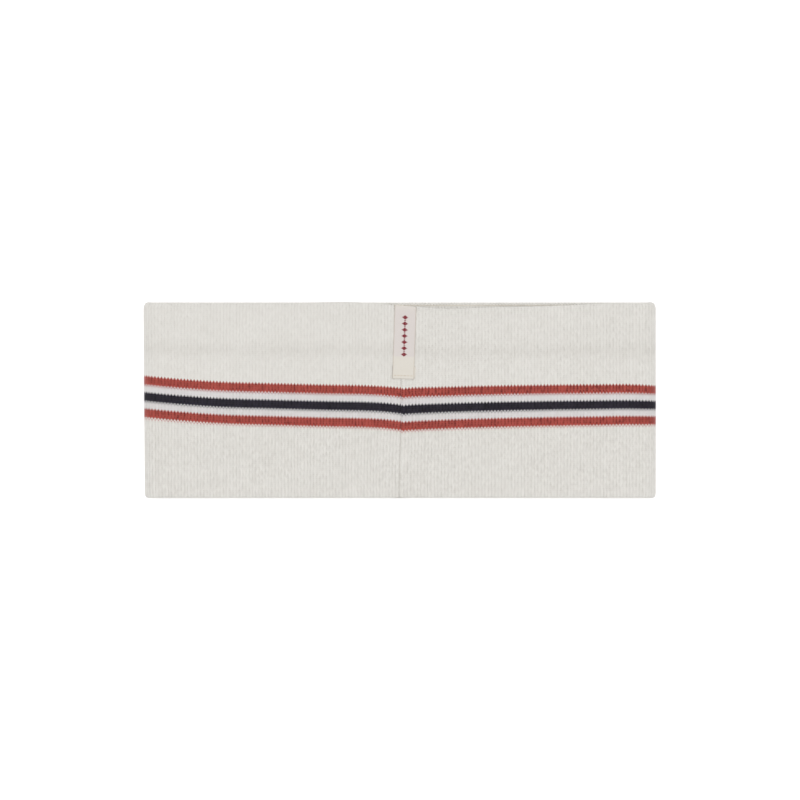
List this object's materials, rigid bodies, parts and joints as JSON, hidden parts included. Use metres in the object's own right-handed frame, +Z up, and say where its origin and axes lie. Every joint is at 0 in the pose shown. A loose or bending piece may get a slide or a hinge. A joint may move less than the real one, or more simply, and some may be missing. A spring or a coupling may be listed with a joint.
{
  "type": "sports headband",
  "caption": "Knitted sports headband lying flat: a double-layer loop with coloured stripes round it, closed by a seam under a ribbon label folded over its upper edge.",
  "frame": {"origin": "middle of the footprint, on the surface that the rear panel rests on", "axes": "+X along the flattened band, +Y towards its top edge, +Z up out of the front panel, which carries the seam and label"},
  "size_m": [0.25, 0.0954, 0.0115],
  "materials": {
    "off_white_knit": "matt fine stockinette knit",
    "brick_red_knit": "matt fine stockinette knit",
    "navy_knit": "matt fine stockinette knit",
    "lining_knit": "matt soft knit",
    "sewing_thread": "spun thread",
    "label_ribbon": "satin woven ribbon",
    "figure_yarn": "woven figure yarn",
    "label_thread": "spun thread"
  },
  "bodies": {
    "root": {"upper_field_knit": "off_white_knit", "upper_red_stripe": "brick_red_knit", "upper_white_stripe": "off_white_knit", "navy_stripe": "navy_knit", "lower_white_stripe": "off_white_knit", "lower_red_stripe": "brick_red_knit", "lower_field_knit": "off_white_knit", "inner_lining_knit": "lining_knit", "top_linking_thread": "sewing_thread", "bottom_linking_thread": "sewing_thread", "outer_seam_thread": "sewing_thread", "lining_seam_thread": "sewing_thread", "woven_label": "label_ribbon", "label_motif_yarn": "figure_yarn", "label_stitching": "label_thread"}
  },
  "joints": []
}
